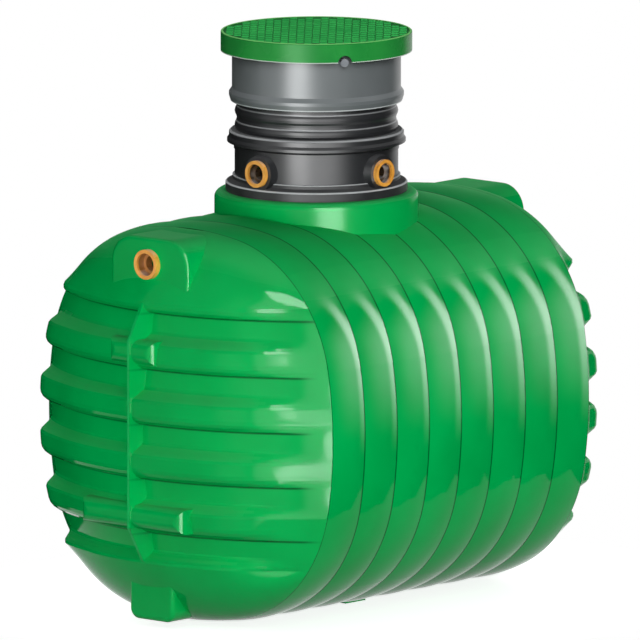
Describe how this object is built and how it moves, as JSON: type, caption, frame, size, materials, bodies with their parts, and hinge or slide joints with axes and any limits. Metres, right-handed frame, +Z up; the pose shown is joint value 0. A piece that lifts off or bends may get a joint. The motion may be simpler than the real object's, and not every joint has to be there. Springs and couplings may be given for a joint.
{
  "type": "sewage holding tank",
  "caption": "Horizontal ribbed plastic holding tank with domed ends, pipe ports, a riser, a telescoping neck tube and a lift-off lid.",
  "frame": {"origin": "on the ground under the middle of the tank", "axes": "+X along the tank from the inlet end to the far end, +Z up"},
  "size_m": [2.11, 1.4158, 2.119],
  "materials": {
    "tank_green": "moulded green polyethylene",
    "lid_green": "moulded green plastic",
    "riser_grey": "dark grey plastic",
    "tube_grey": "mid grey plastic",
    "ring_rubber": "black rubber",
    "sleeve_orange": "golden orange plastic",
    "screw_steel": "plain steel"
  },
  "bodies": {
    "tank": {"barrel_top": "tank_green", "barrel_bottom": "tank_green", "barrel_left": "tank_green", "barrel_right": "tank_green", "barrel_upper_left": "tank_green", "barrel_upper_right": "tank_green", "barrel_lower_left": "tank_green", "barrel_lower_right": "tank_green", "inlet_end": "tank_green", "far_end": "tank_green", "inlet_sleeve": "sleeve_orange", "far_sleeve": "sleeve_orange", "mid_foot_left": "tank_green", "mid_foot_right": "tank_green", "neck_collar": "tank_green", "base_ring": "ring_rubber", "riser": "riser_grey", "riser_sleeve_inlet_side": "sleeve_orange", "riser_sleeve_right_side": "sleeve_orange", "riser_band": "riser_grey", "corrugated_spigot": "riser_grey"},
    "tube": {"telescope_tube": "tube_grey", "lock_screw": "screw_steel"},
    "lid": {"lid": "lid_green"}
  },
  "joints": [
    {"name": "tube_slide", "type": "slide", "parent": "tank", "child": "tube", "axis": [0, 0, 1], "range_m": [-0.08, 0.06]},
    {"name": "lid_lift", "type": "slide", "parent": "tube", "child": "lid", "axis": [0, 0, 1], "range_m": [0, 0.3]}
  ]
}
